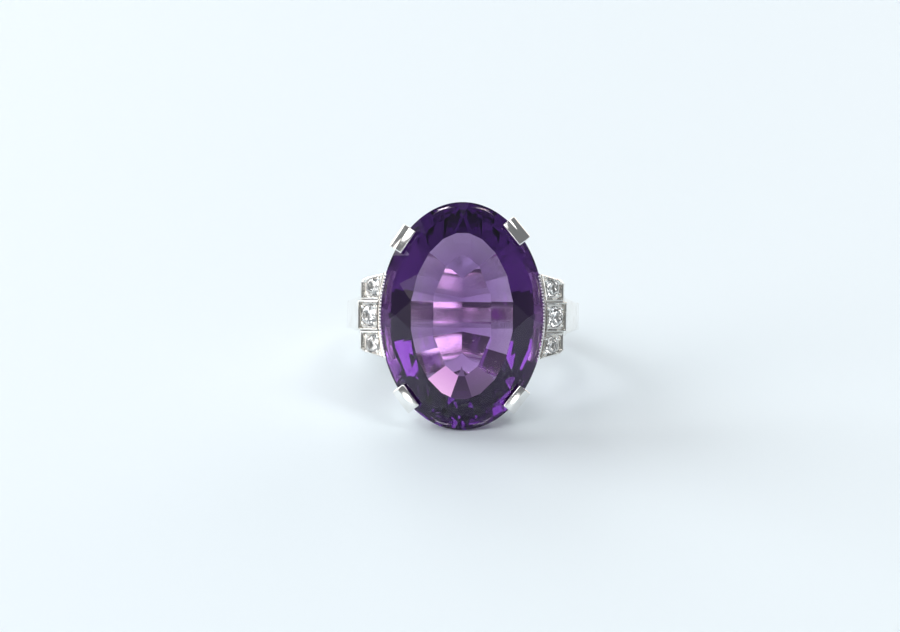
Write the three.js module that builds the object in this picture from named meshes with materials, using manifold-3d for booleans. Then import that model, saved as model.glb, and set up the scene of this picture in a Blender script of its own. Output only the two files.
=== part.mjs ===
// A cocktail ring: an oval amethyst held by four wide claws over an open gallery, with three diamonds
// grain-set in square boxes on each shoulder, all soldered to one plain shank.
//
// Millimetres. Inside the ring group, Y runs along the finger, Z runs from the finger's centre to the
// stone and X runs across the shoulders. The group is then turned and lifted so that the ring lies on
// the plane Z = 0 on the end of its stone and the back edge of its shank, as a ring laid down does.

import * as THREE from "three";
import { mergeVertices } from "three/addons/utils/BufferGeometryUtils.js";
import Module from "manifold-3d";

const wasm = await Module();
wasm.setup();

// ---------------------------------------------------------------- driving dimensions

const SOLDER_GAP = 0.02; // between soldered faces, so that each piece stays a solid of its own

const BORE_RADIUS = 8.25; // a 16.5 mm finger
const SHANK = { thickness: 1.3, backWidth: 2.1, sideWidth: 2.4, topWidth: 3.8, domeRadius: 3.4 };

const STONE = {
  halfWidth: 6.5,
  halfLength: 9,
  girdle: 0.3,
  segments: 96,
  crown: { count: 20, angle: 40, height: 2.05, meetHeight: 1.1 },
  pavilion: [
    { count: 24, angle: 58, inset: 0 },
    { count: 12, angle: 46, inset: 0.42 },
    { count: 12, angle: 39, inset: 2.1 },
    { count: 12, angle: 33, inset: 4.2 },
  ],
};
const CULET_CLEARANCE = 0.35; // from the finger to the keel of the stone

const MIDDLE_DIAMOND = 1.7; // diameters
const END_DIAMOND = 1.48;

const CLAW = {
  width: 2.1,
  azimuths: { upper_right: 48.8, upper_left: 137.5, lower_left: 227.2, lower_right: 313 },
};

// Insets and heights from the girdle.
const BEARING_RAIL = { outer: 0.79, inner: 1.55, top: -1.3, bottom: -2.1 };
const BASE_RAIL = { outer: 2.3, inner: 3.1, thickness: 0.85 };

const SHOULDER = {
  slope: 40, // degrees that the diamonds face outwards
  innerHeight: -0.45, // of the boxes' inner top edge, from the girdle
  boxHeight: 1.3,
  rim: 0.17,
  recess: 0.26,
  seam: 0.05, // between neighbouring boxes
  middleHalf: 1.2,
  middleReach: 8.36,
  endReach: 8.12,
  endInner: 3.36, // half length of the row beside the stone
  endOuter: 2.94, // and at its outer edge
  endCorner: 0.28,
};
const WALL = { ledge: 0.77, width: 0.16, ledgeTop: -0.2, lip: 0.05, halfLength: 3.4 };

// ---------------------------------------------------------------- places worked out from them

const shankRadius = BORE_RADIUS + SHANK.thickness;
const pavilionDepth = STONE.pavilion.reduce((depth, tier, i, tiers) => {
  const end = tiers[i + 1] ? tiers[i + 1].inset : STONE.halfWidth;
  return depth + (end - tier.inset) * Math.tan(THREE.MathUtils.degToRad(tier.angle));
}, 0);
const girdleHeight = BORE_RADIUS + CULET_CLEARANCE + pavilionDepth + STONE.girdle / 2;

const slope = THREE.MathUtils.degToRad(SHOULDER.slope);
const boxNormal = new THREE.Vector3(Math.sin(slope), 0, Math.cos(slope));
const boxInset = -WALL.width - SOLDER_GAP; // of the boxes' inner faces, from the girdle
const boxEdge = new THREE.Vector3(STONE.halfWidth - boxInset, 0, girdleHeight + SHOULDER.innerHeight);

// ---------------------------------------------------------------- solids and cuts

/** A closed geometry as a solid that can be cut and joined. */
function solidOf(geometry) {
  const bare = geometry.clone();
  bare.deleteAttribute("normal");
  bare.deleteAttribute("uv");
  const merged = mergeVertices(bare, 1e-5);
  const mesh = new wasm.Mesh({
    numProp: 3,
    vertProperties: merged.attributes.position.array,
    triVerts: new Uint32Array(merged.index.array),
  });
  return new wasm.Manifold(mesh);
}

/** The geometry of a cut solid. */
function geometryOf(solid) {
  const { vertProperties, triVerts } = solid.getMesh();
  const geometry = new THREE.BufferGeometry();
  geometry.setAttribute("position", new THREE.BufferAttribute(new Float32Array(vertProperties), 3));
  geometry.setIndex(new THREE.BufferAttribute(new Uint32Array(triVerts), 1));
  return geometry;
}

/** What is left of a solid after everything on the side that the normal points to is cut off. */
function cutAway(solid, normal, point) {
  const inwards = normal.clone().normalize().negate();
  return solid.trimByPlane(inwards.toArray(), inwards.dot(point));
}

/** A flat outline between two heights. */
function slab(outline, bottom, top, holes = []) {
  const shape = new THREE.Shape(outline);
  shape.holes = holes.map((hole) => new THREE.Path(hole));
  const geometry = new THREE.ExtrudeGeometry(shape, { depth: top - bottom, bevelEnabled: false });
  return geometry.translate(0, 0, bottom);
}

/** A cylinder along Y, the finger's direction. */
function fingerCylinder(radius, length = 30, segments = 96) {
  return new THREE.CylinderGeometry(radius, radius, length, segments);
}

function addMesh(parent, name, geometry, material) {
  const mesh = new THREE.Mesh(geometry, material);
  mesh.name = name;
  parent.add(mesh);
  return mesh;
}

// ---------------------------------------------------------------- the oval

/** The outward normal of an oval at parameter t. */
function ovalNormal(t, { halfWidth, halfLength } = STONE) {
  return new THREE.Vector2(Math.cos(t) / halfWidth, Math.sin(t) / halfLength).normalize();
}

/** The point of an oval at parameter t, moved inwards along its own normal. */
function ovalPoint(t, inset = 0, oval = STONE) {
  const rim = new THREE.Vector2(oval.halfWidth * Math.cos(t), oval.halfLength * Math.sin(t));
  return rim.addScaledVector(ovalNormal(t, oval), -inset);
}

/** A closed loop parallel to the oval. Its ends are edges and not corners, so that it can stand on one. */
function ovalLoop(inset, segments = STONE.segments, oval = STONE) {
  const parameter = (i) => (2 * Math.PI * (i + 0.5)) / segments;
  return Array.from({ length: segments }, (_, i) => ovalPoint(parameter(i), inset, oval));
}

/** The parameter at which a loop parallel to the oval reaches a distance y along the finger. */
function parameterAt(y, inset) {
  let low = -Math.PI / 2;
  let high = Math.PI / 2;
  for (let i = 0; i < 40; i++) {
    const middle = (low + high) / 2;
    if (ovalPoint(middle, inset).y < y) low = middle;
    else high = middle;
  }
  return (low + high) / 2;
}

/** The stretch of such a loop between two distances along the finger. */
function ovalArc(fromY, toY, inset, steps) {
  const from = parameterAt(fromY, inset);
  const to = parameterAt(toY, inset);
  return Array.from({ length: steps + 1 }, (_, i) => ovalPoint(from + ((to - from) * i) / steps, inset));
}

// ---------------------------------------------------------------- cut stones

/** The plane of a facet that leans at an angle to the girdle, through a point beside the oval. */
function facetPlane(t, angle, inset, height, side, oval) {
  const across = ovalNormal(t, oval).multiplyScalar(Math.sin(angle));
  const foot = ovalPoint(t, inset, oval);
  const normal = new THREE.Vector3(across.x, across.y, side * Math.cos(angle));
  return new THREE.Plane().setFromNormalAndCoplanarPoint(normal, new THREE.Vector3(foot.x, foot.y, height));
}

/** The point that three planes share. */
function meetPoint(a, b, c) {
  const bc = new THREE.Vector3().crossVectors(b.normal, c.normal);
  const ca = new THREE.Vector3().crossVectors(c.normal, a.normal);
  const ab = new THREE.Vector3().crossVectors(a.normal, b.normal);
  const sum = bc.multiplyScalar(-a.constant);
  sum.addScaledVector(ca, -b.constant);
  sum.addScaledVector(ab, -c.constant);
  return sum.divideScalar(a.normal.dot(new THREE.Vector3().crossVectors(b.normal, c.normal)));
}

/** A plane through three points, facing away from the stone's middle. */
function outwardPlane(a, b, c) {
  const plane = new THREE.Plane().setFromCoplanarPoints(a, b, c);
  return plane.constant > 0 ? plane.negate() : plane;
}

/** The planes of a crown: kites from girdle to table, with a star and a girdle triangle in each gap. */
function crownPlanes(spec) {
  const { count, height, meetHeight } = spec.crown;
  const angle = THREE.MathUtils.degToRad(spec.crown.angle);
  const foot = spec.girdle / 2;
  const step = (2 * Math.PI) / count;
  const level = new THREE.Plane(new THREE.Vector3(0, 0, 1), -(foot + meetHeight));
  const kite = (k) => facetPlane((k + 0.5) * step, angle, 0, foot, 1, spec);
  const tableCorner = (k) => {
    const { x, y } = ovalPoint((k + 0.5) * step, height / Math.tan(angle), spec);
    return new THREE.Vector3(x, y, foot + height);
  };
  const planes = [];
  for (let k = 0; k < count; k++) {
    const meet = meetPoint(kite(k - 1), kite(k), level);
    const rim = ovalPoint(k * step, 0, spec);
    const along = ovalNormal(k * step, spec).rotateAround(new THREE.Vector2(), Math.PI / 2).add(rim);
    const girdleRim = new THREE.Vector3(rim.x, rim.y, foot);
    const girdleAlong = new THREE.Vector3(along.x, along.y, foot);
    planes.push(kite(k));
    planes.push(outwardPlane(tableCorner(k - 1), tableCorner(k), meet));
    planes.push(outwardPlane(girdleRim, girdleAlong, meet));
  }
  planes.push(new THREE.Plane(new THREE.Vector3(0, 0, 1), -(foot + height)));
  return planes;
}

/** The planes of a pavilion cut in tiers, each one flatter than the tier above it. */
function pavilionPlanes(spec) {
  const planes = [];
  let height = -spec.girdle / 2;
  spec.pavilion.forEach(({ count, angle, inset, turn = 0 }, i, tiers) => {
    const lean = THREE.MathUtils.degToRad(angle);
    for (let k = 0; k < count; k++)
      planes.push(facetPlane((2 * Math.PI * (k + turn)) / count, lean, inset, height, -1, spec));
    if (tiers[i + 1]) height -= (tiers[i + 1].inset - inset) * Math.tan(lean);
  });
  return planes;
}

/** A faceted stone with its girdle on the plane Z = 0 and its table towards +Z. */
function cutStone(spec) {
  const reach = spec.halfLength * 1.5;
  let stone = solidOf(slab(ovalLoop(0, spec.segments, spec), -reach, reach));
  for (const plane of [...crownPlanes(spec), ...pavilionPlanes(spec)])
    stone = cutAway(stone, plane.normal, plane.coplanarPoint(new THREE.Vector3()));
  return geometryOf(stone);
}

/** A round diamond in the old style, with eight kites on its crown. */
function diamondSpec(diameter) {
  const radius = diameter / 2;
  return {
    halfWidth: radius,
    halfLength: radius,
    girdle: 0.04 * diameter,
    segments: 32,
    crown: { count: 8, angle: 36, height: 0.15 * diameter, meetHeight: 0.09 * diameter },
    pavilion: [
      { count: 16, angle: 43.5, inset: 0, turn: 0.5 },
      { count: 8, angle: 41, inset: 0.14 * diameter },
    ],
  };
}

/** A stone grown about its centre, to cut its seat with. */
function seatCutter(geometry, radius) {
  const growth = 1 + (1.5 * SOLDER_GAP) / radius;
  return geometry.clone().scale(growth, growth, growth);
}

// ---------------------------------------------------------------- the head

/** A strip standing on the base rail, bent out past the girdle and folded over the crown. */
function clawStrip() {
  // Distance outwards from the girdle, and height above it.
  const foot = girdleHeight - BORE_RADIUS;
  const outerFace = [
    [-1.68, -foot + 0.1],
    [-1.6, -5.3],
    [-0.86, -3.4],
    [-0.26, -2.1],
    [0.24, -1.1],
    [0.46, -0.4],
    [0.5, 0.1],
    [0.42, 0.42],
    [0.2, 0.74],
    [-0.1, 0.94],
    [-0.6, 1.08],
  ];
  const innerFace = [
    [-0.66, 1.0],
    [-0.66, 0.4],
    [-0.1, -0.1],
    [-0.1, -0.5],
    [-0.3, -1.0],
    [-0.66, -1.75],
    [-0.77, -2.15],
    [-1.36, -3.5],
    [-2.2, -5.4],
    [-2.28, -foot + 0.1],
    [-2.28, -foot - 0.8],
    [-1.68, -foot - 0.8],
  ];
  const profile = [...outerFace, ...innerFace].map(([out, height]) => new THREE.Vector2(out, height));
  // Extruded along Z, then stood up so that the profile's height is Z and the strip's width is Y.
  const strip = slab(profile, -CLAW.width / 2, CLAW.width / 2);
  return strip.rotateX(Math.PI / 2);
}

/** The claw at one azimuth, cut to the stone and to the finger. */
function claw(azimuth, stoneCutter, boreCutter) {
  const t = THREE.MathUtils.degToRad(azimuth);
  const rim = ovalPoint(t);
  const strip = clawStrip().rotateZ(ovalNormal(t).angle()).translate(rim.x, rim.y, 0);
  return geometryOf(solidOf(strip).subtract(stoneCutter).subtract(boreCutter));
}

/** The oval rail that the pavilion sits on. */
function bearingRail(stoneCutter) {
  const { outer, inner, top, bottom } = BEARING_RAIL;
  const ring = slab(ovalLoop(outer), bottom, top, [ovalLoop(inner)]);
  return geometryOf(solidOf(ring).subtract(stoneCutter));
}

/** The oval rail that rides on the finger, so it is curved like a saddle. */
function baseRail(boreCutter) {
  const { outer, inner, thickness } = BASE_RAIL;
  const ring = slab(ovalLoop(outer), -girdleHeight, 0, [ovalLoop(inner)]);
  const crust = fingerCylinder(BORE_RADIUS + thickness).translate(0, 0, -girdleHeight);
  return geometryOf(solidOf(ring).intersect(solidOf(crust)).subtract(boreCutter));
}

// ---------------------------------------------------------------- the shoulders

/** The boxes' outlines, as seen from the front of the ring. They run anticlockwise. */
function boxOutlines() {
  const { middleHalf, middleReach, endReach, endInner, endOuter, endCorner, seam } = SHOULDER;
  const at = (x, y) => new THREE.Vector2(x, y);
  const start = middleHalf + seam;
  const upper = [
    at(endReach, start),
    at(endReach, endOuter - endCorner),
    at(endReach - endCorner, endOuter),
    ...ovalArc(endInner, start, boxInset, 3),
  ];
  const lower = upper.map(({ x, y }) => at(x, -y)).reverse();
  const middle = [
    at(middleReach, -middleHalf),
    at(middleReach, middleHalf),
    ...ovalArc(middleHalf, -middleHalf, boxInset, 3),
  ];
  return { upper, middle, lower };
}

/** An outline moved inwards by a distance, edge by edge. It runs anticlockwise. */
function insetOutline(outline, distance) {
  const edges = outline.map((corner, i) => {
    const along = outline[(i + 1) % outline.length].clone().sub(corner).normalize();
    const inwards = new THREE.Vector2(-along.y, along.x);
    return { point: corner.clone().addScaledVector(inwards, distance), along };
  });
  return edges.map((edge, i) => {
    const before = edges[(i + edges.length - 1) % edges.length];
    const gap = edge.point.clone().sub(before.point);
    const reach = gap.cross(edge.along) / before.along.cross(edge.along);
    return before.point.clone().addScaledVector(before.along, reach);
  });
}

/** The middle of an outline, on the sloped plane that the boxes' rims lie in. */
function boxCentre(outline) {
  const middle = new THREE.Box2().setFromPoints(outline).getCenter(new THREE.Vector2());
  return new THREE.Vector3(middle.x, middle.y, boxEdge.z - (middle.x - boxEdge.x) * Math.tan(slope));
}

/** A tray with a sunk floor, four grains and a pierced seat for one diamond. */
function box(outline, diamond, radius) {
  const { boxHeight, rim, recess } = SHOULDER;
  const below = (depth) => boxEdge.clone().addScaledVector(boxNormal, -depth);
  const centre = boxCentre(outline);
  const place = new THREE.Matrix4().makeRotationY(slope).setPosition(centre);

  let tray = solidOf(slab(outline, girdleHeight - 6, girdleHeight + 3));
  tray = cutAway(tray, boxNormal, boxEdge);
  tray = cutAway(tray, boxNormal.clone().negate(), below(boxHeight));
  const sunk = solidOf(slab(insetOutline(outline, rim), girdleHeight - 6, girdleHeight + 3));
  tray = tray.subtract(cutAway(sunk, boxNormal.clone().negate(), below(recess)));

  const grainRadius = 0.17;
  for (let corner = 0; corner < 4; corner++) {
    const azimuth = (corner + 0.5) * (Math.PI / 2);
    const grain = new THREE.SphereGeometry(grainRadius, 12, 8);
    const out = radius + 0.04;
    grain.translate(out * Math.cos(azimuth), out * Math.sin(azimuth), grainRadius * 0.5 - recess);
    tray = tray.add(solidOf(grain.applyMatrix4(place)));
  }
  const pierced = new THREE.CylinderGeometry(radius * 0.62, radius * 0.62, boxHeight * 3, 24);
  const mouth = new THREE.CylinderGeometry(radius * 1.04, radius * 1.04, 0.2, 32);
  pierced.rotateX(Math.PI / 2).applyMatrix4(place);
  mouth.rotateX(Math.PI / 2).translate(0, 0, diamondSink() + 0.1).applyMatrix4(place);
  const seat = seatCutter(diamond, radius).translate(0, 0, diamondSink()).applyMatrix4(place);
  const kept = tray.subtract(solidOf(pierced)).subtract(solidOf(seat));
  return geometryOf(kept);
}

/** The height of a diamond's girdle from the plane of the rims. */
function diamondSink() {
  return -SHOULDER.recess + 0.05;
}

/** The curved wall beside the stone: a ledge under the girdle and a lip along the row of boxes. */
function sideWall(stoneCutter) {
  const { ledge, width, ledgeTop, lip, halfLength } = WALL;
  const foot = SHOULDER.innerHeight - SHOULDER.boxHeight / Math.cos(slope);
  const arc = (inset) => ovalArc(-halfLength, halfLength, inset, 24);
  const band = (outer, inner) => [...arc(outer), ...arc(inner).reverse()];
  const raised = boxEdge.clone().setZ(SHOULDER.innerHeight).addScaledVector(boxNormal, lip);
  const edge = cutAway(solidOf(slab(band(-width, 0.05), foot, 1)), boxNormal, raised);
  const shelf = solidOf(slab(band(0, ledge), foot, ledgeTop));
  return geometryOf(edge.add(shelf).subtract(stoneCutter));
}

/** The bracket that rises from the shank to the underside of the boxes and spreads as it rises. */
function shoulderArm() {
  const underBox = (x) => {
    const drop = (SHOULDER.boxHeight + SOLDER_GAP) / Math.cos(slope);
    return boxEdge.z - (x - boxEdge.x) * Math.tan(slope) - drop;
  };
  const toe = 1.4; // the height at which the arm's end meets the shank
  const leaves = 5.3; // and the height at which it leaves it
  const topReach = SHOULDER.endReach - 0.12;
  const hoop = shankRadius + SOLDER_GAP;
  const side = new THREE.Shape();
  side.moveTo(boxEdge.x, underBox(boxEdge.x));
  side.lineTo(topReach, underBox(topReach));
  side.bezierCurveTo(8.05, 8.6, 9.5, 6.4, hoop + 0.06, toe);
  side.lineTo(Math.sqrt(hoop ** 2 - toe ** 2), toe);
  side.absarc(0, 0, hoop, Math.asin(toe / hoop), Math.asin(leaves / hoop), false);
  side.bezierCurveTo(7.7, 7.2, 7.45, 8.4, 7.25, 9.6);
  side.bezierCurveTo(7.1, 10.5, 6.8, 11.0, boxEdge.x, underBox(boxEdge.x));

  const front = new THREE.Shape();
  front.moveTo(-1.12, toe - 0.1);
  front.lineTo(1.12, toe - 0.1);
  front.bezierCurveTo(1.12, 9.6, 1.6, 10.2, 2.8, 11);
  front.lineTo(2.9, 13);
  front.lineTo(-2.9, 13);
  front.lineTo(-2.8, 11);
  front.bezierCurveTo(-1.6, 10.2, -1.12, 9.6, -1.12, toe - 0.1);

  const options = { bevelEnabled: false, curveSegments: 10 };
  const sideways = new THREE.ExtrudeGeometry(side, { ...options, depth: 8 });
  sideways.translate(0, 0, -4).rotateX(Math.PI / 2); // x stays, the profile's y becomes Z
  const outwards = new THREE.ExtrudeGeometry(front, { ...options, depth: 12 });
  outwards.rotateX(Math.PI / 2).rotateZ(Math.PI / 2); // the outline's x becomes Y, its y becomes Z
  return geometryOf(solidOf(sideways).intersect(solidOf(outwards)));
}

// ---------------------------------------------------------------- the shank

/** The hoop, slightly domed outside, narrow at the back and wider where it meets the base rail. */
function shank() {
  const { backWidth, sideWidth, topWidth, domeRadius } = SHANK;
  const halfBlank = topWidth / 2 + 0.1;
  const dome = Array.from({ length: 13 }, (_, i) => {
    const y = halfBlank * (1 - i / 6);
    return new THREE.Vector2(shankRadius - domeRadius + Math.sqrt(domeRadius ** 2 - y ** 2), y);
  });
  const profile = [
    new THREE.Vector2(BORE_RADIUS, -halfBlank),
    ...dome.reverse(),
    new THREE.Vector2(BORE_RADIUS, halfBlank),
    new THREE.Vector2(BORE_RADIUS, -halfBlank),
  ];
  const segments = 112;
  const hoop = new THREE.LatheGeometry(profile, segments, Math.PI / segments); // a flat at the very back

  const edge = [
    [backWidth / 2, -shankRadius - 1],
    [sideWidth / 2, 0],
    [topWidth / 2, shankRadius],
  ];
  const taper = new THREE.Shape([
    ...edge.map(([y, z]) => new THREE.Vector2(y, z)),
    ...edge.reverse().map(([y, z]) => new THREE.Vector2(-y, z)),
  ]);
  const plan = new THREE.ExtrudeGeometry(taper, { depth: 24, bevelEnabled: false });
  plan.translate(0, 0, -12).rotateX(Math.PI / 2).rotateZ(Math.PI / 2);

  const opening = slab(ovalLoop(BASE_RAIL.outer - SOLDER_GAP), 0, girdleHeight);
  return geometryOf(solidOf(hoop).intersect(solidOf(plan)).subtract(solidOf(opening)));
}

// ---------------------------------------------------------------- the assembly

const whiteMetal = new THREE.MeshStandardMaterial({ color: 0xe4e2de, metalness: 1, roughness: 0.14 });
const amethyst = new THREE.MeshStandardMaterial({ color: 0x5a2c8c, metalness: 0, roughness: 0.02 });
const diamondWhite = new THREE.MeshStandardMaterial({ color: 0xeef4f6, metalness: 0, roughness: 0.01 });

const ring = new THREE.Group();
addMesh(ring, "shank", shank(), whiteMetal);

const head = new THREE.Group();
head.position.z = girdleHeight;
ring.add(head);

const stone = cutStone(STONE);
const stoneCutter = solidOf(seatCutter(stone, STONE.halfWidth));
const boreCutter = solidOf(fingerCylinder(BORE_RADIUS).translate(0, 0, -girdleHeight));
addMesh(head, "amethyst", stone, amethyst);
addMesh(head, "bearing_rail", bearingRail(stoneCutter), whiteMetal);
addMesh(head, "base_rail", baseRail(boreCutter), whiteMetal);
for (const [place, azimuth] of Object.entries(CLAW.azimuths))
  addMesh(head, `claw_${place}`, claw(azimuth, stoneCutter, boreCutter), whiteMetal);

const outlines = boxOutlines();
const armGeometry = shoulderArm();
const wallGeometry = sideWall(stoneCutter).translate(0, 0, girdleHeight);
for (const [side, direction] of [
  ["left", -1],
  ["right", 1],
]) {
  const shoulder = new THREE.Group();
  shoulder.scale.x = direction;
  ring.add(shoulder);
  addMesh(shoulder, `shoulder_arm_${side}`, armGeometry, whiteMetal);
  addMesh(shoulder, `side_wall_${side}`, wallGeometry, whiteMetal);
  for (const [place, outline] of Object.entries(outlines)) {
    const diameter = place === "middle" ? MIDDLE_DIAMOND : END_DIAMOND;
    const cut = cutStone(diamondSpec(diameter));
    addMesh(shoulder, `box_${side}_${place}`, box(outline, cut, diameter / 2), whiteMetal);
    const diamond = addMesh(shoulder, `diamond_${side}_${place}`, cut, diamondWhite);
    diamond.position.copy(boxCentre(outline)).addScaledVector(boxNormal, diamondSink());
    diamond.rotation.y = slope;
  }
}

/** The lowest point of one of the group's pieces, in the frame that the group stands in. */
function lowestOf(group, name) {
  const piece = group.getObjectByName(name);
  const position = piece.geometry.getAttribute("position");
  const points = Array.from({ length: position.count }, (_, i) =>
    new THREE.Vector3().fromBufferAttribute(position, i).applyMatrix4(piece.matrixWorld),
  );
  return points.reduce((lowest, point) => (point.z < lowest.z ? point : lowest));
}

/** Lays the ring down: it leans back until the end of its stone and the back of its shank both touch. */
function layDown(group) {
  group.rotation.x = Math.PI / 2 - Math.atan2(STONE.halfLength, girdleHeight + shankRadius);
  for (let i = 0; i < 8; i++) {
    group.updateMatrixWorld(true);
    const front = lowestOf(group, "amethyst");
    const back = lowestOf(group, "shank");
    group.rotation.x += (front.z - back.z) / (back.y - front.y);
  }
  group.updateMatrixWorld(true);
  const box = new THREE.Box3().setFromObject(group, true);
  const centre = box.getCenter(new THREE.Vector3());
  group.position.set(-centre.x, -centre.y, -box.min.z);
}
layDown(ring);

export default ring;
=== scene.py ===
import math

import bmesh
import bpy
from mathutils import Matrix, Vector


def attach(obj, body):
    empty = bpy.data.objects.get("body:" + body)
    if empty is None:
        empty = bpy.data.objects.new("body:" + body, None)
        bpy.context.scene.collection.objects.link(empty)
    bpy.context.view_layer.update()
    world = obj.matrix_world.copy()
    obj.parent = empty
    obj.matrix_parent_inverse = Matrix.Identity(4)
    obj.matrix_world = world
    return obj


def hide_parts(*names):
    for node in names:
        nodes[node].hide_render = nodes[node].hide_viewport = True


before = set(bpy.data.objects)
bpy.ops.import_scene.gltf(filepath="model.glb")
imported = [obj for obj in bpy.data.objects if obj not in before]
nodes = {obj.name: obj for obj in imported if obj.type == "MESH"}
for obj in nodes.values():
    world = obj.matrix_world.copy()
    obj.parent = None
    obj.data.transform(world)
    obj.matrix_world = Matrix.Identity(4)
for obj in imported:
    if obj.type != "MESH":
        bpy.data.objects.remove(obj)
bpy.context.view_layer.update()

# ---------------------------------------------------------------- the ring's dimensions
# Millimetres, in the ring's own frame: X across the shoulders, Y along the finger, Z to the stone.
# Angles are in degrees, apart from SLOPE's radians.

BORE, HOOP, DOME = 8.25, 9.55, 3.4
HALF_WIDTH, HALF_LENGTH, TABLE_HEIGHT = 6.5, 9.0, 2.2
BACK_WIDTH, SIDE_WIDTH, TOP_WIDTH = 2.1, 2.4, 3.8
CLAW_WIDTH = 2.1
CLAW_BEVEL = (0.1, 22)  # its width, and the least angle of an edge that gets one
CLAW_AZIMUTHS = {"upper_right": 48.8, "upper_left": 137.5, "lower_left": 227.2, "lower_right": 313}
SLOPE = math.radians(40)
BOX_EDGE_X, BOX_HEIGHT = 6.68, 1.3
RIM, RECESS, SEAM = 0.17, 0.26, 0.05
FLOOR_INSET = RIM + 0.07
MIDDLE_HALF, MIDDLE_REACH, END_REACH = 1.2, 8.36, 8.12
END_INNER, END_OUTER, END_CORNER = 3.36, 2.94, 0.28
MIDDLE_DIAMOND, END_DIAMOND = 1.7, 1.48
GRAIN_RADIUS, GRAIN_OUT, GRAIN_RAISE = 0.17, 0.07, 0.1
WALL_WIDTH, WALL_HALF = 0.16, 3.4
MILGRAIN_PITCH, MILGRAIN_RADIUS, MILGRAIN_INSET, MILGRAIN_RISE = 0.24, 0.09, 0.05, 0.345
SHARP_ANGLE = 35

# The stone itself gives the ring's lean, from its table, and the height of its girdle.
table = max(nodes["amethyst"].data.polygons, key=lambda face: face.area)
HEAD_AXIS = table.normal.copy()
FINGER_AXIS = HEAD_AXIS.cross(Vector((1, 0, 0))).normalized()


def ring_frame():
    """The matrix that places the ring's frame. It finds the finger hole's centre from the shank."""
    turn = Matrix((Vector((1, 0, 0)), FINGER_AXIS, HEAD_AXIS)).transposed()
    points = [turn.transposed() @ v.co for v in nodes["shank"].data.vertices]
    along = [p.y for p in points]
    centre = Vector((0, (min(along) + max(along)) / 2, min(p.z for p in points) + HOOP * 1e-3))
    return Matrix.Translation(turn @ centre) @ turn.to_4x4()


def girdle_height():
    """The middle of the girdle, from the finger's centre: the table is a known height above it."""
    return max((RING.inverted() @ v.co).z for v in nodes["amethyst"].data.vertices) * 1e3 - TABLE_HEIGHT


RING = ring_frame()
GIRDLE = girdle_height()
BOX_EDGE_Z = GIRDLE - 0.45
STONE_CENTRE = RING @ Vector((0, 0, GIRDLE * 1e-3))

# ---------------------------------------------------------------- camera

def aim(obj, target, roll=0.0):
    """Points an object's -Z at a place, with its +Y up."""
    look = (target - obj.location).to_track_quat("-Z", "Y")
    obj.rotation_mode = "QUATERNION"
    obj.rotation_quaternion = look @ Matrix.Rotation(roll, 3, "Z").to_quaternion()


def make_camera():
    """Looks down at the stone from the front. Distances are in metres, and the sensor in millimetres."""
    azimuth, elevation = math.radians(0.3), math.radians(18.9)
    distance, view_width, sensor = 0.25, 0.0711, 36
    data = bpy.data.cameras.new("camera")
    camera = bpy.data.objects.new("camera", data)
    bpy.context.scene.collection.objects.link(camera)
    level = Vector((math.sin(azimuth), -math.cos(azimuth), 0))
    out = level * math.cos(elevation) + Vector((0, 0, math.sin(elevation)))
    camera.location = STONE_CENTRE + out * distance
    aim(camera, STONE_CENTRE, roll=math.radians(0.5))
    data.lens = sensor * distance / view_width
    data.sensor_width = sensor
    data.shift_x = -0.0134
    data.clip_start = 0.01
    data.dof.use_dof = False
    bpy.context.scene.camera = camera


make_camera()

# ---------------------------------------------------------------- materials

def new_material(name):
    material = bpy.data.materials.new(name)
    material.use_nodes = True
    shader = material.node_tree.nodes["Principled BSDF"]
    return material, material.node_tree, shader


def noise(tree, scale, detail, stretch=(1, 1, 1)):
    """Noise in the object's own metres: scale is how many features there are in a metre."""
    place = tree.nodes.new("ShaderNodeTexCoord")
    mapping = tree.nodes.new("ShaderNodeMapping")
    mapping.inputs["Scale"].default_value = stretch
    node = tree.nodes.new("ShaderNodeTexNoise")
    node.inputs["Scale"].default_value = scale
    node.inputs["Detail"].default_value = detail
    tree.links.new(place.outputs["Object"], mapping.inputs["Vector"])
    tree.links.new(mapping.outputs["Vector"], node.inputs["Vector"])
    return node.outputs["Fac"]


def spread(tree, value, low, high, bottom, top, kind="LINEAR"):
    """Stretches a value's range from low and high to bottom and top."""
    node = tree.nodes.new("ShaderNodeMapRange")
    node.interpolation_type = kind
    tree.links.new(value, node.inputs["Value"])
    for socket, number in (("From Min", low), ("From Max", high), ("To Min", bottom), ("To Max", top)):
        node.inputs[socket].default_value = number
    return node.outputs["Result"]


def bump(tree, shader, height, depth):
    """Raises the surface by a height of 0 to 1, scaled to a depth in metres."""
    node = tree.nodes.new("ShaderNodeBump")
    node.inputs["Strength"].default_value = 1
    node.inputs["Distance"].default_value = depth
    tree.links.new(height, node.inputs["Height"])
    tree.links.new(node.outputs["Normal"], shader.inputs["Normal"])


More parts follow.
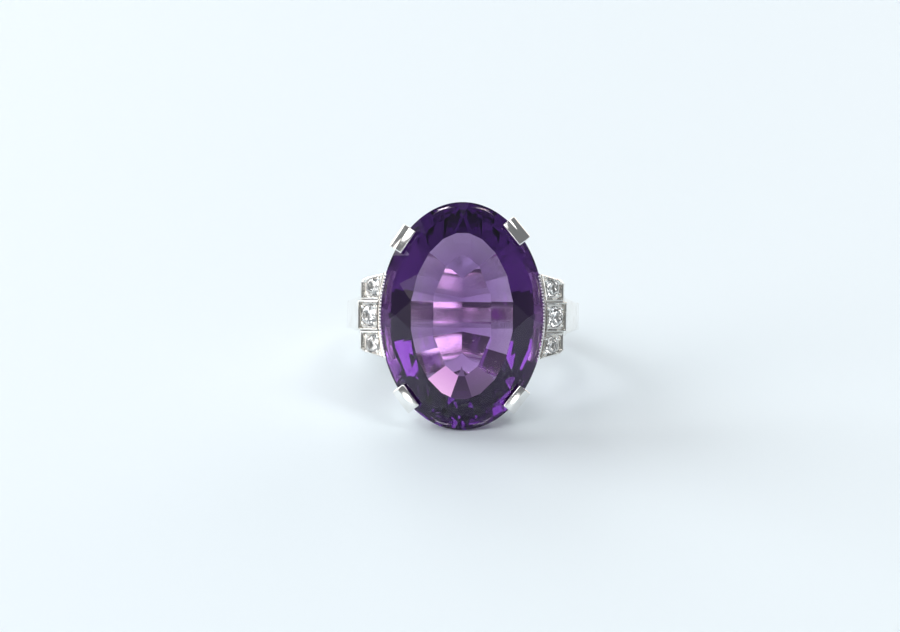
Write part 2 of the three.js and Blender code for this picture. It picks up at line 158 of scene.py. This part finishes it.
def white_gold():
    """Rhodium-bright metal, rubbed by wear: soft patches, fine scratches and slightly uneven surfaces."""
    material, tree, shader = new_material("white_gold")
    shader.inputs["Metallic"].default_value = 1
    rubbed = noise(tree, 900, 3)
    scratches = noise(tree, 2600, 2, (1, 1, 7))
    mix = tree.nodes.new("ShaderNodeMix")
    mix.data_type = "RGBA"
    mix.inputs["A"].default_value = (0.93, 0.92, 0.9, 1)
    mix.inputs["B"].default_value = (0.84, 0.83, 0.8, 1)
    tree.links.new(spread(tree, rubbed, 0.4, 0.7, 0, 1), mix.inputs["Factor"])
    tree.links.new(mix.outputs["Result"], shader.inputs["Base Color"])
    wear = tree.nodes.new("ShaderNodeMath")
    wear.operation = "ADD"
    tree.links.new(spread(tree, rubbed, 0.35, 0.7, 0.07, 0.2), wear.inputs[0])
    tree.links.new(spread(tree, scratches, 0.6, 0.75, 0.0, 0.12), wear.inputs[1])
    tree.links.new(wear.outputs["Value"], shader.inputs["Roughness"])
    filed = noise(tree, 420, 1)
    height = tree.nodes.new("ShaderNodeMath")
    height.operation = "MULTIPLY_ADD"
    tree.links.new(scratches, height.inputs[0])
    height.inputs[1].default_value = 0.05
    tree.links.new(filed, height.inputs[2])
    bump(tree, shader, height.outputs["Value"], 4e-5)
    return material


def gem(name, colour, density, ior):
    """Clear stone, coloured by what it absorbs on the light's way through, with a trace of polish marks."""
    material, tree, shader = new_material(name)
    shader.inputs["Base Color"].default_value = (1, 1, 1, 1)
    shader.inputs["IOR"].default_value = ior
    shader.inputs["Transmission Weight"].default_value = 1
    polish = noise(tree, 1800, 2, (1, 5, 1))
    tree.links.new(spread(tree, polish, 0.62, 0.8, 0.0, 0.02), shader.inputs["Roughness"])
    if density:
        volume = tree.nodes.new("ShaderNodeVolumeAbsorption")
        volume.inputs["Color"].default_value = (*colour, 1)
        volume.inputs["Density"].default_value = density
        tree.links.new(volume.outputs["Volume"], tree.nodes["Material Output"].inputs["Volume"])
    return material


METAL = white_gold()
AMETHYST = gem("amethyst", (0.42, 0.105, 0.58), 265, 1.55)
DIAMOND = gem("diamond", (1, 1, 1), 0, 2.42)

# ---------------------------------------------------------------- making pieces

class Shape:
    """Points and faces in millimetres, gathered piece by piece."""

    def __init__(self):
        self.points = []
        self.faces = []

    def add(self, points, faces):
        first = len(self.points)
        self.points += [Vector(p) for p in points]
        self.faces += [tuple(first + i for i in face) for face in faces]

    def loft(self, sections, closed=False):
        """Quads between neighbouring sections of as many points each, and flat caps unless it closes."""
        count = len(sections[0])
        points = [p for section in sections for p in section]
        faces = []
        for k in range(len(sections) if closed else len(sections) - 1):
            a, b = k * count, (k + 1) % len(sections) * count
            for i in range(count):
                j = (i + 1) % count
                faces.append((a + i, a + j, b + j, b + i))
        if not closed:
            faces.append(tuple(reversed(range(count))))
            faces.append(tuple(range(len(points) - count, len(points))))
        self.add(points, faces)

    def bead(self, centre, radius, axis, rings, around):
        """A ball, with its poles along an axis."""
        turn = axis.to_track_quat("Z", "Y").to_matrix()
        points = [centre + turn @ Vector((0, 0, radius))]
        for k in range(1, rings):
            tilt = math.pi * k / rings
            for i in range(around):
                turned = 2 * math.pi * i / around
                out = Vector((math.cos(turned), math.sin(turned), 0)) * math.sin(tilt)
                points.append(centre + turn @ (out + Vector((0, 0, math.cos(tilt)))) * radius)
        points.append(centre - turn @ Vector((0, 0, radius)))
        last = len(points) - 1
        faces = []
        for i in range(around):
            j = (i + 1) % around
            faces.append((0, 1 + i, 1 + j))
            for k in range(rings - 2):
                a = 1 + k * around
                faces.append((a + i, a + around + i, a + around + j, a + j))
            faces.append((last, last - around + j, last - around + i))
        self.add(points, faces)


def merge_slivers(mesh, distance=2e-3):
    """Closes up the faces of no area that a bevel leaves where two edges run together."""
    work = bmesh.new()
    work.from_mesh(mesh)
    bmesh.ops.remove_doubles(work, verts=work.verts, dist=distance)
    bmesh.ops.dissolve_degenerate(work, edges=work.edges, dist=distance)
    work.to_mesh(mesh)
    work.free()


def bevel_edges(obj, width, angle):
    """Rounds off the edges that turn by more than an angle."""
    modifier = obj.modifiers.new("bevel", "BEVEL")
    modifier.width = width
    modifier.segments = 3
    modifier.limit_method = "ANGLE"
    modifier.angle_limit = math.radians(angle)
    modifier.use_clamp_overlap = True
    graph = bpy.context.evaluated_depsgraph_get()
    obj.data = bpy.data.meshes.new_from_object(obj.evaluated_get(graph))
    obj.modifiers.clear()
    merge_slivers(obj.data)


def piece(name, shape, replaces, bevel=None, mirrored=False):
    """A white gold piece of the ring. It is bevelled in millimetres, then scaled and put in its place."""
    mesh = bpy.data.meshes.new(name)
    turned = [Vector((-p.x, p.y, p.z)) for p in shape.points] if mirrored else shape.points
    mesh.from_pydata(turned, [], shape.faces)
    work = bmesh.new()
    work.from_mesh(mesh)
    bmesh.ops.recalc_face_normals(work, faces=work.faces)
    work.to_mesh(mesh)
    work.free()
    obj = bpy.data.objects.new(name, mesh)
    bpy.context.scene.collection.objects.link(obj)
    if bevel:
        bevel_edges(obj, *bevel)
    obj.data.name = name
    obj.data.transform(RING @ Matrix.Scale(1e-3, 4))
    obj.data.shade_smooth()
    obj.data.set_sharp_from_angle(angle=math.radians(SHARP_ANGLE))
    obj.data.materials.append(METAL)
    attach(obj, "root")
    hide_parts(*replaces)


def blend(a, b, t):
    return a + (b - a) * t


def bezier(points, count):
    """Points of one cubic curve."""
    a, b, c, d = (Vector(p) for p in points)
    found = []
    for k in range(count + 1):
        t = k / count
        found.append(a * (1 - t) ** 3 + b * 3 * t * (1 - t) ** 2 + c * 3 * t * t * (1 - t) + d * t**3)
    return found


def rounded_box(half_u, half_v, radius, steps=4):
    """The outline of a rectangle with round corners, as pairs, anticlockwise."""
    outline = []
    for quarter, (u, v) in enumerate(((1, 1), (-1, 1), (-1, -1), (1, -1))):
        for k in range(steps + 1):
            angle = math.pi / 2 * (quarter + k / steps)
            corner_u, corner_v = u * (half_u - radius), v * (half_v - radius)
            outline.append((corner_u + radius * math.cos(angle), corner_v + radius * math.sin(angle)))
    return outline


# ---------------------------------------------------------------- the oval

def oval_normal(t):
    return Vector((math.cos(t) / HALF_WIDTH, math.sin(t) / HALF_LENGTH)).normalized()


def oval_point(t, inset=0.0):
    """A point of the girdle's oval, moved inwards along its own normal."""
    return Vector((HALF_WIDTH * math.cos(t), HALF_LENGTH * math.sin(t))) - oval_normal(t) * inset


def oval_parameter(y, inset):
    """Where a loop parallel to the oval reaches a distance along the finger."""
    low, high = -math.pi / 2, math.pi / 2
    for _ in range(40):
        middle = (low + high) / 2
        low, high = (middle, high) if oval_point(middle, inset).y < y else (low, middle)
    return low


def oval_arc(from_y, to_y, inset, steps):
    a, b = oval_parameter(from_y, inset), oval_parameter(to_y, inset)
    return [oval_point(blend(a, b, k / steps), inset) for k in range(steps + 1)]


# ---------------------------------------------------------------- shank and arms

def shank():
    """The hoop: nearly flat inside, domed outside, with soft edges. Its ends run into the base rail."""
    end_x, steps = HALF_WIDTH - 2.5, 144
    edge_from, edge_part, edge_drop, inner_round = 0.82, 0.18, 0.14, 0.06
    end = math.asin(end_x / BORE)
    sections = []
    for k in range(steps + 1):
        turned = blend(end, 2 * math.pi - end, k / steps)
        out = Vector((math.sin(turned), 0, math.cos(turned)))
        height = math.cos(turned)
        half = blend(SIDE_WIDTH, TOP_WIDTH if height > 0 else BACK_WIDTH, abs(height)) / 2
        profile = []
        for i in range(13):
            v = half * (i / 6 - 1)
            soft = edge_drop * max(0.0, abs(v) / half - edge_from) / edge_part
            profile.append((HOOP - DOME + math.sqrt(DOME**2 - v * v) - soft**2 / edge_drop, v))
        for i in range(9):
            v = half * (1 - i / 4)
            profile.append((BORE + inner_round * (v / half) ** 6, v))
        sections.append([out * radius + Vector((0, v, 0)) for radius, v in profile])
    shape = Shape()
    shape.loft(sections)
    return shape


def under_box(x):
    """The height of the boxes' undersides, less a soldered joint's gap."""
    return BOX_EDGE_Z - (x - BOX_EDGE_X) * math.tan(SLOPE) - (BOX_HEIGHT + 0.02) / math.cos(SLOPE)


def at_height(curve, z):
    """Where a curve, given as (x, z) points from its top down, reaches a height."""
    for a, b in zip(curve, curve[1:]):
        if b.y <= z <= a.y:
            return blend(a.x, b.x, (a.y - z) / max(a.y - b.y, 1e-9))
    return curve[0].x if z > curve[0].y else curve[-1].x


def shoulder_arm():
    """The bracket from the shank to the boxes. It spreads as it rises, and its edges are soft."""
    toe, leaves, hoop = 1.4, 5.3, HOOP + 0.02
    leaves_x, tip_x = math.sqrt(hoop**2 - leaves**2), END_REACH - 0.12
    top_in, top_out = under_box(BOX_EDGE_X), under_box(tip_x)
    outer = bezier([(tip_x, top_out), (8.05, 8.6), (9.5, 6.4), (hoop + 0.06, toe)], 40)
    inner = bezier([(BOX_EDGE_X, top_in), (6.8, 11.0), (7.1, 10.5), (7.25, 9.6)], 12)
    inner += bezier([(7.25, 9.6), (7.45, 8.4), (7.7, 7.2), (leaves_x, leaves)], 16)[1:]
    inner += [Vector((math.sqrt(hoop**2 - z * z), z)) for z in (4.6, 3.9, 3.2, 2.5, 1.9, toe)]
    widths = bezier([(2.8, 11.0), (1.6, 10.2), (1.12, 9.6), (1.12, toe - 0.1)], 30)
    widths = [Vector((2.9, 13.0))] + widths
    sections = []
    steps = 40
    for k in range(steps + 1):
        share = k / steps
        z_in, z_out = blend(top_in, toe, share), blend(top_out, toe, share)
        a = Vector((at_height(inner, z_in), 0, z_in))
        b = Vector((at_height(outer, z_out), 0, z_out))
        half = at_height(widths, (z_in + z_out) / 2)
        depth = (b - a).length
        across = (b - a).normalized()
        radius = min(0.22, depth * 0.45)
        sections.append(
            [(a + b) / 2 + across * u + Vector((0, v, 0)) for u, v in rounded_box(depth / 2, half, radius)]
        )
    shape = Shape()
    shape.loft(sections)
    return shape


# ---------------------------------------------------------------- the head

def oval_rail(section_at, steps=144):
    """A rail round the oval: section_at gives its (inset, height) outline at each place."""
    sections = []
    for k in range(steps):
        t = 2 * math.pi * k / steps
        sections.append([Vector((*oval_point(t, inset), z)) for inset, z in section_at(t)])
    shape = Shape()
    shape.loft(sections, closed=True)
    return shape


def bearing_rail():
    """The collar under the girdle. It follows a plain oval, so the stone's facets stand a little into it."""
    top = ((0.79, -1.3), (0.82, -1.27), (1.52, -2.0), (1.55, -2.05))
    outline = top + ((1.5, -2.12), (0.84, -2.12), (0.79, -2.07))
    return oval_rail(lambda t: [(inset, GIRDLE + z) for inset, z in outline])


def base_rail():
    """The saddle over the finger: its section rides on the finger's curve."""
    middle, half_width, half_height, corner = 2.7, 0.4, 0.42, 0.14

    def section(t):
        found = []
        for u, v in rounded_box(half_width, half_height, corner, 3):
            inset = middle + u
            x = oval_point(t, inset).x
            found.append((inset, math.sqrt((BORE + half_height + v) ** 2 - x * x)))
        return found

    return oval_rail(section)


def claw(azimuth):
    """A strip from the base rail to the crown, with a flat bevelled tab over the stone."""
    foot = GIRDLE - BORE
    outer_leg = ((-1.68, -foot - 0.1), (-1.68, -foot + 0.2), (-1.62, -5.3), (-1.3, -4.4), (-0.86, -3.4))
    outer_bow = ((-0.54, -2.7), (-0.24, -2.1), (0.04, -1.55), (0.28, -1.0), (0.44, -0.45), (0.5, 0.0))
    tab = ((0.5, 0.5), (0.04, 0.84), (-0.6, 0.965), (-0.64, 0.78), (-0.3, 0.46))
    inner_bow = ((0.02, 0.17), (0.02, -0.16), (-0.1, -0.45), (-0.26, -0.9), (-0.5, -1.4), (-0.74, -2.0))
    inner_leg = ((-0.8, -2.2), (-1.1, -2.95), (-1.42, -3.6), (-1.86, -4.5), (-2.18, -5.4))
    heel = ((-2.28, -foot + 0.2), (-2.28, -foot - 0.1))
    outline = outer_leg + outer_bow + tab + inner_bow + inner_leg + heel
    t = math.radians(azimuth)
    rim, normal = oval_point(t), oval_normal(t)
    out = Vector((normal.x, normal.y, 0))
    across = Vector((-normal.y, normal.x, 0))
    origin = Vector((rim.x, rim.y, GIRDLE))
    profile = [origin + out * u + Vector((0, 0, v)) for u, v in outline]
    shape = Shape()
    shape.loft([[p + across * side * CLAW_WIDTH / 2 for p in profile] for side in (-1, 1)])
    return shape


# ---------------------------------------------------------------- boxes and walls

BOX_NORMAL = Vector((math.sin(SLOPE), 0, math.cos(SLOPE)))


def plate_height(x):
    """The plane of the boxes' rims."""
    return BOX_EDGE_Z - (x - BOX_EDGE_X) * math.tan(SLOPE)


def box_outlines():
    """The three boxes' outlines as seen along Z, anticlockwise."""
    inset = -WALL_WIDTH - 0.02
    start = MIDDLE_HALF + SEAM
    upper = [Vector((END_REACH, start)), Vector((END_REACH, END_OUTER - END_CORNER))]
    upper += [Vector((END_REACH - END_CORNER, END_OUTER))] + oval_arc(END_INNER, start, inset, 4)
    lower = [Vector((p.x, -p.y)) for p in reversed(upper)]
    middle = [Vector((MIDDLE_REACH, -MIDDLE_HALF)), Vector((MIDDLE_REACH, MIDDLE_HALF))]
    middle += oval_arc(MIDDLE_HALF, -MIDDLE_HALF, inset, 4)
    return {"upper": upper, "middle": middle, "lower": lower}


def inset_outline(outline, distance):
    """An anticlockwise outline moved inwards, edge by edge."""
    edges = []
    for a, b in zip(outline, outline[1:] + outline[:1]):
        along = (b - a).normalized()
        edges.append((a + Vector((-along.y, along.x)) * distance, along))
    found = []
    for (p, u), (q, v) in zip(edges[-1:] + edges[:-1], edges):
        gap, turn = q - p, u.x * v.y - u.y * v.x
        found.append(p + u * (gap.x * v.y - gap.y * v.x) / turn)
    return found


def reach(outline, centre, towards):
    """How many times a direction fits between a point inside an outline and its edge."""
    found = []
    for a, b in zip(outline, outline[1:] + outline[:1]):
        edge, gap = b - a, a - centre
        turn = towards.cross(edge)
        if abs(turn) > 1e-9:
            far, along = gap.cross(edge) / turn, gap.cross(towards) / turn
            if far > 0 and -1e-6 <= along <= 1 + 1e-6:
                found.append(far)
    return min(found)


def on_plate(outline, depth):
    """An outline dropped along Z onto the plane of the rims, or below it."""
    return [Vector((p.x, p.y, plate_height(p.x) - depth / math.cos(SLOPE))) for p in outline]


def box(outline, radius):
    """A tray with a rounded rim, sloping inner walls, and a seat sunk under the diamond."""
    low, high = min(p.x for p in outline), max(p.x for p in outline)
    ends = min(p.y for p in outline), max(p.y for p in outline)
    centre_x, centre_y = (low + high) / 2, sum(ends) / 2
    centre = Vector((centre_x, centre_y, plate_height(centre_x)))
    down_slope = Vector((math.cos(SLOPE), 0, -math.sin(SLOPE)))
    finger = Vector((0, 1, 0))
    floor = inset_outline(outline, FLOOR_INSET)
    around, clearance = 32, 0.03

    def seat(share, depth):
        """A loop of the seat: round, but held back in plan where the floor is narrower.

        It sinks square to the slope and the floor sinks straight down, so on the amethyst's side the
        loop still passes the floor's edge, and the floor folds back on itself there, under the diamond.
        """
        points = []
        for k in range(around):
            turned = 2 * math.pi * k / around
            towards = Vector((math.cos(turned) * math.cos(SLOPE), math.sin(turned)))
            room = reach(floor, Vector((centre_x, centre_y)), towards)
            r = min(radius + clearance, room - clearance) * share
            flat = down_slope * r * math.cos(turned) + finger * r * math.sin(turned)
            points.append(centre + flat - BOX_NORMAL * depth)
        return points

    rim = ((0.05, 0.02), (0.09, 0.0), (RIM, 0.07))  # insets and depths, over the top of the wall
    loops = [on_plate(outline, BOX_HEIGHT), on_plate(outline, 0.14)]
    loops += [on_plate(inset_outline(outline, inset), depth) for inset, depth in rim]
    loops.append(on_plate(floor, RECESS))
    cone = ((1, 0), (0.62, 0.4), (0.08, 0.9))  # shares of the mouth, and depths in diamond radii
    holes = [seat(share, RECESS + radius * depth) for share, depth in cone]
    work = bmesh.new()

    def ring_of(points):
        verts = [work.verts.new(p) for p in points]
        edges = [work.edges.new((verts[i], verts[(i + 1) % len(verts)])) for i in range(len(verts))]
        return verts, edges

    def join(first, second):
        for i in range(len(first)):
            j = (i + 1) % len(first)
            work.faces.new((first[i], first[j], second[j], second[i]))

    walls = [ring_of(points) for points in loops]
    seats = [ring_of(points) for points in holes]
    for (a, _), (b, _) in list(zip(walls, walls[1:])) + list(zip(seats, seats[1:])):
        join(a, b)
    bmesh.ops.triangle_fill(work, edges=walls[-1][1] + seats[0][1], use_beauty=True)
    work.faces.new(walls[0][0])
    work.faces.new(seats[2][0])
    bmesh.ops.recalc_face_normals(work, faces=work.faces)
    work.verts.index_update()
    shape = Shape()
    shape.add([v.co.copy() for v in work.verts], [tuple(v.index for v in f.verts) for f in work.faces])
    work.free()
    return shape, centre, down_slope, finger


def add_grains(shape, centre, down_slope, finger, radius):
    """Four beads raised at the corners, leaning over the diamond's edge."""
    for corner in range(4):
        turned = math.pi / 2 * (corner + 0.5)
        flat = down_slope * math.cos(turned) + finger * math.sin(turned)
        place = centre + flat * (radius + GRAIN_OUT) - BOX_NORMAL * (RECESS - GRAIN_RAISE)
        shape.bead(place, GRAIN_RADIUS, BOX_NORMAL, 8, 14)


def side_wall():
    """The curved wall beside the stone: a ledge under the girdle and a lip of beads over its edge."""
    foot = BOX_EDGE_Z - BOX_HEIGHT / math.cos(SLOPE)
    steps, end_gap = 48, 0.08

    def section(rim):
        """Insets and heights, from the foot outside, over the lip, to the foot inside."""
        outside = ((-WALL_WIDTH, foot), (-WALL_WIDTH, rim + 0.02), (-0.12, rim + 0.1))
        lip = ((-0.06, GIRDLE + 0.25), (-0.01, GIRDLE + 0.29), (-0.01, GIRDLE - 0.17))
        ledge = ((0.02, GIRDLE - 0.26), (0.3, GIRDLE - 0.76), (0.77, GIRDLE - 1.38), (0.77, foot))
        return outside + lip + ledge

    rows = {inset: oval_arc(-WALL_HALF, WALL_HALF, inset, steps) for inset, _ in section(0)}
    sections = []
    for k in range(steps + 1):
        rim = plate_height(rows[-WALL_WIDTH][k].x)
        sections.append([Vector((*rows[inset][k], z)) for inset, z in section(rim)])
    shape = Shape()
    shape.loft(sections)
    edge = oval_arc(-WALL_HALF + end_gap, WALL_HALF - end_gap, MILGRAIN_INSET, 240)
    walked = MILGRAIN_PITCH
    for last, point in zip(edge, edge[1:]):
        walked += (point - last).length
        if walked >= MILGRAIN_PITCH:
            walked = 0.0
            shape.bead(Vector((*point, GIRDLE + MILGRAIN_RISE)), MILGRAIN_RADIUS, Vector((0, 0, 1)), 6, 10)
    return shape


piece("ring_shank", shank(), ["shank"])
piece("gallery_bearing_rail", bearing_rail(), ["bearing_rail"])
piece("gallery_base_rail", base_rail(), ["base_rail"])
for place, azimuth in CLAW_AZIMUTHS.items():
    piece(f"tab_claw_{place}", claw(azimuth), [f"claw_{place}"], bevel=CLAW_BEVEL)
for side, mirrored in (("left", True), ("right", False)):
    piece(f"arm_{side}", shoulder_arm(), [f"shoulder_arm_{side}"], mirrored=mirrored)
    piece(f"milgrain_wall_{side}", side_wall(), [f"side_wall_{side}"], mirrored=mirrored)
    for place, outline in box_outlines().items():
        radius = (MIDDLE_DIAMOND if place == "middle" else END_DIAMOND) / 2
        shape, centre, down_slope, finger = box(outline, radius)
        add_grains(shape, centre, down_slope, finger, radius)
        piece(f"diamond_box_{side}_{place}", shape, [f"box_{side}_{place}"], mirrored=mirrored)

for name, node in nodes.items():
    if name == "amethyst" or name.startswith("diamond"):
        node.data.materials.clear()
        node.data.materials.append(AMETHYST if name == "amethyst" else DIAMOND)
        node.data.shade_flat()

# ---------------------------------------------------------------- stage and light

# The room's brightness at the horizon and above it, and the height where the change ends.
HORIZON, ROOM, ROOM_RISE = 0.6, 0.2, 0.2
ROOM_TINT = (0.92, 0.96, 1.0)
WHITE, WARM, COPPER = (1.0, 1.0, 1.0), (1.0, 0.93, 0.9), (1.0, 0.86, 0.78)
# Each patch is a direction, an angular radius and softness, a strength and a colour.
PATCHES = (
    ((-0.80, 0.42, 0.42), 20, 4, 4.8, WHITE),
    ((-0.22, -0.71, 0.67), 12, 3, 4.5, WHITE),
    ((0.43, -0.33, 0.84), 11, 3, 4.5, WHITE),
    ((-0.26, 0.88, 0.40), 13, 4, 3.0, WHITE),
    ((0.48, 0.87, 0.10), 22, 6, 2.2, COPPER),
    ((-0.15, 0.62, 0.77), 22, 8, 0.9, WHITE),
    ((-0.82, -0.48, 0.31), 16, 6, 3.6, WARM),
    ((-0.28, -0.96, 0.04), 7, 2, 3.0, WHITE),
    ((0.28, -0.96, 0.04), 7, 2, 3.0, WHITE),
)


def make_floor():
    mesh = bpy.data.meshes.new("floor")
    half = 4
    corners = [(-half, -half, 0), (half, -half, 0), (half, half, 0), (-half, half, 0)]
    mesh.from_pydata(corners, [], [(0, 1, 2, 3)])
    floor = bpy.data.objects.new("floor", mesh)
    bpy.context.scene.collection.objects.link(floor)
    material, _, shader = new_material("floor")
    shader.inputs["Base Color"].default_value = (0.8, 0.89, 0.94, 1)
    shader.inputs["Roughness"].default_value = 0.6
    mesh.materials.append(material)


def make_world():
    """A dim room round a pale floor, brightest at the horizon, with soft bright patches."""
    world = bpy.data.worlds.new("studio")
    world.use_nodes = True
    tree = world.node_tree
    add = tree.nodes.new
    link = tree.links.new
    background = tree.nodes["Background"]
    direction = add("ShaderNodeTexCoord").outputs["Generated"]

    def tinted(value, colour):
        node = add("ShaderNodeVectorMath")
        node.operation = "SCALE"
        node.inputs[0].default_value = colour
        link(value, node.inputs["Scale"])
        return node.outputs[0]

    def total(a, b):
        node = add("ShaderNodeVectorMath")
        link(a, node.inputs[0])
        link(b, node.inputs[1])
        return node.outputs[0]

    parts = add("ShaderNodeSeparateXYZ")
    link(direction, parts.inputs[0])
    room = spread(tree, parts.outputs["Z"], 0.0, ROOM_RISE, HORIZON, ROOM, "SMOOTHSTEP")
    light = tinted(room, ROOM_TINT)
    for towards, radius, soft, strength, colour in PATCHES:
        dot = add("ShaderNodeVectorMath")
        dot.operation = "DOT_PRODUCT"
        link(direction, dot.inputs[0])
        dot.inputs[1].default_value = Vector(towards).normalized()
        outer, inner = math.cos(math.radians(radius + soft)), math.cos(math.radians(radius - soft))
        patch = spread(tree, dot.outputs["Value"], outer, inner, 0, strength, "SMOOTHSTEP")
        light = total(light, tinted(patch, colour))
    link(light, background.inputs["Color"])
    bpy.context.scene.world = world


make_floor()
make_world()

scene = bpy.context.scene
scene.cycles.use_denoising = True
scene.cycles.max_bounces = 24
scene.cycles.transmission_bounces = 24
scene.cycles.glossy_bounces = 8
scene.view_settings.view_transform = "Standard"
